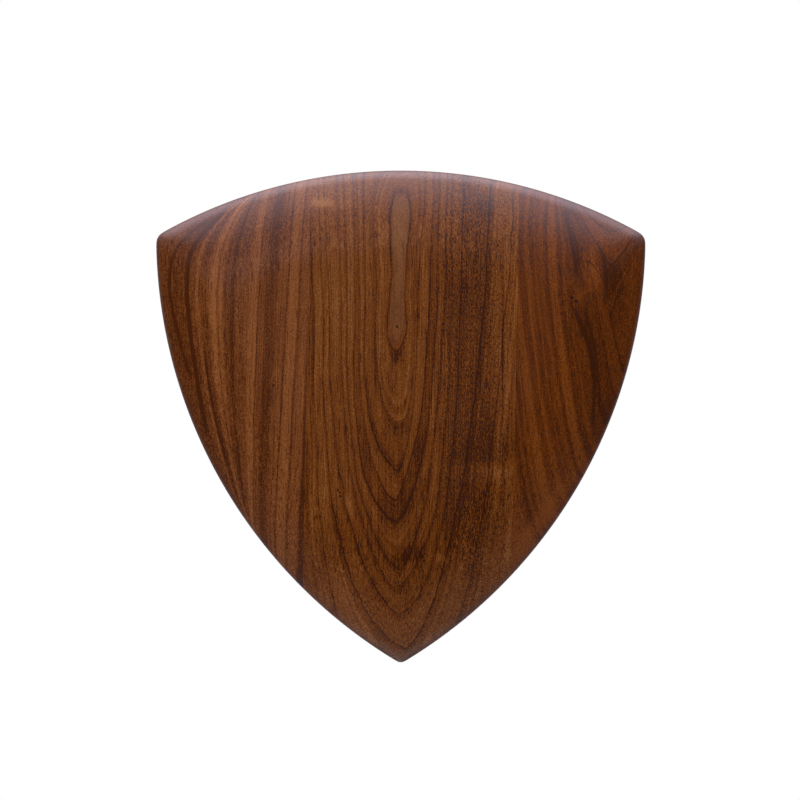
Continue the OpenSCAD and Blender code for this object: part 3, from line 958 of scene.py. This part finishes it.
# %% [markdown]
# ## Browns, lines and pins
# Each board came from its own plank, so each has its own browns: the left one is the pinkest, the right
# one the deepest, and the palest streaks turn greyer. With these the three finishes are made and put on
# the skins, and each skin takes the place of its solid.

# %% Browns by tone, arch lines and pins
BROWNS = {
    "left": [
        (0.0, (0.046, 0.0105, 0.0018)), (0.2, (0.085, 0.022, 0.0042)), (0.5, (0.127, 0.0365, 0.0088)),
        (0.8, (0.164, 0.051, 0.0135)), (1.0, (0.215, 0.074, 0.023)),
    ],
    "centre": [
        (0.0, (0.030, 0.0062, 0.001)), (0.2, (0.068, 0.0158, 0.0018)), (0.5, (0.117, 0.0308, 0.0036)),
        (0.78, (0.151, 0.0452, 0.0074)), (1.0, (0.21, 0.078, 0.024)),
    ],
    "right": [
        (0.0, (0.038, 0.009, 0.0016)), (0.2, (0.067, 0.015, 0.0024)), (0.5, (0.095, 0.0215, 0.0022)),
        (0.8, (0.121, 0.029, 0.003)), (1.0, (0.158, 0.043, 0.007)),
    ],
}
# Arch lines: the first arch that has one, and the darkness of each from there on.
LINES = {
    "left": None,
    "centre": (0, [0, 0.5, 0.25, 0.35, 0.5, 0.5, 0.3, 0.35, 0.45, 0.5, 0.4, 0.3]),
    "right": (20, [0, 0.7, 0.85, 0]),
}
# Pins: x, z and radius.
PINS = {
    "left": [(-78, 19.5, 0.7)],
    "centre": [
        (-2.4, 55.4, 0.8), (-38.6, -44.8, 0.8), (-37.6, -46.4, 0.6), (-37.2, -48.6, 0.8),
        (13.1, -85.6, 0.75), (14.3, -88, 0.75),
    ],
    "right": [(105.2, 73.2, 1.0), (107.5, 71, 1.0)],
}
# Shares of the long fibres, of the short grain and of the fine lines that repeat the ring.
GRAIN = {"left": 1.0, "centre": 1.1, "right": 1.3}
SHORT = {"left": 1.8, "centre": 1.4, "right": 2.0}
FINE = {"left": 0.4, "centre": 0.6, "right": 0.4}
for board in BROWNS:
    print(board, "board:", len(BROWNS[board]), "browns,", len(PINS[board]), "pins")

# %% Put the walnut on the boards
for board, piece in skins.items():
    piece.data.materials.append(walnut(board))
    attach(piece, "root")
    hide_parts(board + "_board")
    print(piece.name, "has", piece.active_material.name)

# %% [markdown]
# ## Beech and zinc
# The dowels are turned beech and are glued inside the joints. The hanger is zinc plated sheet, and its
# screws are plated too. Their solids have the true shape already, so they stay and only get a finish:
# a noise on the object's own coordinates, drawn out along the grain of the dowel or the rolling of the
# sheet, which drifts the colour and the roughness and gives a faint bump.

# %% Beech and zinc finishes
ROUGH_DRIFT, FAINT_BUMP, FAINT_DEPTH = 0.25, 0.1, 0.0002
NOISE_LOW, NOISE_HIGH, NOISE_DETAIL = 0.3, 0.7, 4.0
DOWEL_GRAIN, SHEET_GRAIN, SCREW_GRAIN = (60, 900, 900), (900, 900, 160), (700, 700, 700)


def plain_finish(name, low, high, metal, rough, scale):
    """A finish whose colour and roughness drift with a noise, with a scale per metre along x, y and z."""
    made, tree, shader = new_finish(name)
    place = lay(tree, "TexCoord").outputs["Object"]
    place = lay(tree, "Mapping", {"Vector": place, "Scale": scale}).outputs[0]
    noise = lay(tree, "TexNoise", {"Vector": place, "Scale": 1.0, "Detail": NOISE_DETAIL}).outputs["Fac"]
    colour = ramp(tree, noise, [(NOISE_LOW, low), (NOISE_HIGH, high)], colour=True)
    rough = reckon(tree, "MULTIPLY_ADD", noise, ROUGH_DRIFT, rough)
    feed(tree, shader, colour, rough, noise, FAINT_BUMP, FAINT_DEPTH)
    shader.inputs["Metallic"].default_value = metal
    return made


beech = plain_finish("beech_turned", (0.42, 0.25, 0.12), (0.60, 0.40, 0.22), 0.0, 0.5, DOWEL_GRAIN)
zinc = plain_finish("zinc_sheet", (0.45, 0.45, 0.44), (0.62, 0.62, 0.60), 1.0, 0.25, SHEET_GRAIN)
screw = plain_finish("zinc_screw", (0.40, 0.39, 0.36), (0.56, 0.55, 0.51), 1.0, 0.28, SCREW_GRAIN)
for word, finish in (("dowel", beech), ("screw", screw), ("keyhole_hanger", zinc)):
    for name in sorted(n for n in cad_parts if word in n):
        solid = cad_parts[name].data
        solid.materials.clear()
        solid.materials.append(finish)
        print(name, "has", finish.name)

# %% [markdown]
# ## Stage
# The plaque was photographed on plain white under wide soft light. The white is the world, as far as
# the camera sees it. Oiled wood also mirrors a little: it mirrors a second, dimmer room, which is bright
# overhead, so that the top edge and the shoulders get their cool sheen, glows a little high behind the
# camera, and is faint below and behind. A white room all round would be simpler, but it would lie as a
# grey veil on the dark wood.

# %% The white ground and the mirrored room
SHEEN, WHITE = (0.78, 0.835, 1.06, 1), (1, 1, 1, 1)
OVER_POWER, OVER_STRENGTH, OVER_ASIDE = 3.6, 5.3, 0.2
HIGH_GLOW, HIGH_FROM, HIGH_TO = 0.2, -0.05, 0.25
FRONT_GLOW, FRONT_SIDE, FRONT_FOOT, FRONT_HEAD = 0.65, 0.18, 0.06, 0.16
FRONT_NEAR, FRONT_FAR = -0.97, -0.8
BELOW_POWER, BELOW_STRENGTH = 2.0, 0.55
BEHIND_FROM, BEHIND_LOW, BEHIND_HIGH = 0.4, 0.02, 0.3
AMBIENT = 0.015
scene = bpy.context.scene
scene.view_settings.view_transform = "Standard"
world = bpy.data.worlds.new("studio")
scene.world = world
world.use_nodes = True
tree = world.node_tree
tree.nodes.clear()


def glow(value, power, strength):
    """Strength times a power of the value, and nothing where the value is below 0."""
    raised = reckon(tree, "POWER", reckon(tree, "MAXIMUM", value, 0.0), power)
    return reckon(tree, "MULTIPLY", raised, strength)


path = lay(tree, "LightPath").outputs
way = lay(tree, "SeparateXYZ", {0: lay(tree, "TexCoord").outputs["Generated"]}).outputs
aside = reckon(tree, "MULTIPLY_ADD", reckon(tree, "MULTIPLY", way["X"], way["X"]), OVER_ASIDE, 1.0)
high = between(tree, way["Z"], HIGH_FROM, HIGH_TO, 0.0, HIGH_GLOW, "SMOOTHSTEP")
overhead = reckon(tree, "ADD", glow(way["Z"], OVER_POWER, OVER_STRENGTH), high)
overhead = reckon(tree, "MULTIPLY", overhead, aside)
front = between(tree, way["Z"], FRONT_FOOT, FRONT_HEAD, 0.0, FRONT_GLOW, "SMOOTHSTEP")
to_left = fade(tree, way["X"], -FRONT_SIDE, FRONT_SIDE)
ahead = fade(tree, way["Y"], FRONT_NEAR, FRONT_FAR)
front = product(tree, front, to_left, ahead)
overhead = reckon(tree, "ADD", overhead, front)
below = glow(reckon(tree, "MULTIPLY", way["Z"], -1.0), BELOW_POWER, BELOW_STRENGTH)
behind = between(tree, way["Y"], BEHIND_FROM, 1.0, BEHIND_LOW, BEHIND_HIGH)
strength = reckon(tree, "MAXIMUM", reckon(tree, "MAXIMUM", behind, below), overhead)
mirrored = lay(tree, "Background", {"Color": SHEEN, "Strength": strength}).outputs[0]
seen = reckon(tree, "MAXIMUM", path["Is Camera Ray"], path["Is Transmission Ray"])
strength = reckon(tree, "MAXIMUM", seen, AMBIENT)
room = lay(tree, "Background", {"Color": WHITE, "Strength": strength}).outputs[0]
light = lay(tree, "MixShader", {0: path["Is Glossy Ray"], 1: room, 2: mirrored}).outputs[0]
lay(tree, "OutputWorld", {"Surface": light})
print("world:", len(tree.nodes), "nodes")

# %% [markdown]
# ## Lamps
# One wide lamp hangs overhead, two stand in front to the left and right, two more at the sides, and one
# behind for the back. They light the wood but are not mirrored in it: the mirrored room above gives the
# sheen, and a lamp's own reflection would lie as a grey veil on the dark wood.

# %% Soft lamps
MIDDLE = (0, 0, 0)


def softbox(name, place, wide, tall, watts, aim):
    """An area lamp at a place, turned to face a point, lighting by its direct light alone."""
    lamp = bpy.data.lights.new(name, "AREA")
    lamp.shape = "RECTANGLE"
    lamp.size, lamp.size_y, lamp.energy = wide, tall, watts
    lamp.cycles.use_multiple_importance_sampling = False
    hung = bpy.data.objects.new(name, lamp)
    hung.location = place
    x, y, z = np.array(aim) - np.array(place)
    hung.rotation_euler = (math.atan2(math.hypot(x, y), -z), 0, math.atan2(y, x) - math.pi / 2)
    hung.visible_glossy = False
    scene.collection.objects.link(hung)
    print("lamp %s: %g W, %.2f m away" % (name, watts, np.linalg.norm(place)))


# Lamps: name, place, width and height in metres, watts, and the point that the lamp faces.
LAMPS = [
    ("overhead", (-0.1, 0.1, 1.2), 1.3, 1.05, 22, (0, 0.05, 0)),
    ("left_fill", (-1.15, -1.3, 0.4), 0.9, 1.0, 18.4, MIDDLE),
    ("right_fill", (1.15, -1.3, 0.4), 0.9, 1.0, 18.6, MIDDLE),
    ("left_side", (-1.3, -0.25, -0.05), 1.0, 1.0, 8.5, MIDDLE),
    ("right_side", (1.3, -0.25, -0.05), 1.0, 1.0, 3.5, MIDDLE),
    ("back_fill", (-0.3, 1.6, 0.7), 1.4, 1.2, 26, MIDDLE),
]
for lamp in LAMPS:
    softbox(*lamp)

# %% [markdown]
# ## Floor and camera
# A disc of pale paper lies well below the plaque. It is out of the picture from the front, and gives
# the lower edges a little light from underneath. The camera looks straight at the front, a little above
# the middle, with a long lens. Its place and lens were set by laying the picture over the photograph.

# %% Paper floor and camera
FLOOR_RADIUS, FLOOR_Z, FLOOR_SIDES, PAPER_ROUGH = 0.5, -0.8, 96, 0.7
PAPER_LOW, PAPER_HIGH, PAPER_GRAIN = (0.53, 0.53, 0.53), (0.57, 0.57, 0.57), (30, 30, 30)
EYE, SENSOR, LENS = (-0.0005, -1.8, 0.0105), 36.0, 131.25
bpy.ops.mesh.primitive_circle_add(vertices=FLOOR_SIDES, radius=FLOOR_RADIUS, fill_type="NGON")
floor = bpy.context.object
floor.location = (0, 0, FLOOR_Z)
floor.name = "floor"
paper = plain_finish("pale_paper", PAPER_LOW, PAPER_HIGH, 0.0, PAPER_ROUGH, PAPER_GRAIN)
floor.data.materials.append(paper)
camera = bpy.data.cameras.new("camera")
camera.sensor_width, camera.lens = SENSOR, LENS
eye = bpy.data.objects.new("camera", camera)
eye.location = EYE
eye.rotation_euler = (math.pi / 2, 0, 0)
scene.collection.objects.link(eye)
scene.camera = eye
print("floor at z = %g m, camera %.2f m in front" % (FLOOR_Z, -EYE[1]))
